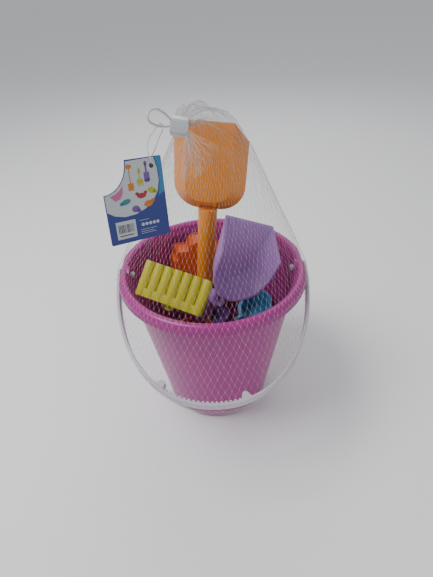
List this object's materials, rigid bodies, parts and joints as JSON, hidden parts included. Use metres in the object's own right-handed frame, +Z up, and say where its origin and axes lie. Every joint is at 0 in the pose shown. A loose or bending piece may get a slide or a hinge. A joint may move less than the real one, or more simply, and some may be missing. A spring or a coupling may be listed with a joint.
{
  "type": "sand bucket set",
  "caption": "Round toy bucket with a swinging bail, holding a spade, rake, scoop and sand moulds in a drawn net with a clip and hang tag.",
  "frame": {"origin": "centre of the foot ring under the bucket, on the table", "axes": "+Z up along the bucket's axis, -Y to the side the bail hangs on, +X from one bail pivot to the other"},
  "size_m": [0.194, 0.2323, 0.3367],
  "materials": {
    "bucket_pink": "satin",
    "bail_white": "satin",
    "spade_orange": "satin",
    "rake_yellow": "satin",
    "scoop_purple": "satin",
    "turtle_orange": "satin",
    "crab_red": "satin",
    "fish_blue": "satin",
    "star_yellow": "satin",
    "flower_violet": "satin",
    "net_yarn": "satin",
    "clip_white": "gloss",
    "cord_white": "satin",
    "tag_card": "satin"
  },
  "bodies": {
    "bucket": {"bucket": "bucket_pink", "spade": "spade_orange", "rake": "rake_yellow", "scoop": "scoop_purple", "turtle_mould": "turtle_orange", "crab_mould": "crab_red", "fish_mould": "fish_blue", "star_mould": "star_yellow", "flower_mould": "flower_violet", "net": "net_yarn", "net_clip": "clip_white", "carry_loop": "cord_white"},
    "bail": {"bail": "bail_white"},
    "tag": {"tag_string": "cord_white", "hang_tag": "tag_card"}
  },
  "joints": [
    {"name": "bail_swing", "type": "hinge", "parent": "bucket", "child": "bail", "pos_m": [0, 0, 0.167], "axis": [-1, 0, 0], "range_deg": [0, 62], "deforming": ["net"]},
    {"name": "tag_swing", "type": "hinge", "parent": "bucket", "child": "tag", "pos_m": [-0.0336, -0.0214, 0.3224], "axis": [-0.483, -0.804, 0.347], "range_deg": [0, 50]}
  ]
}
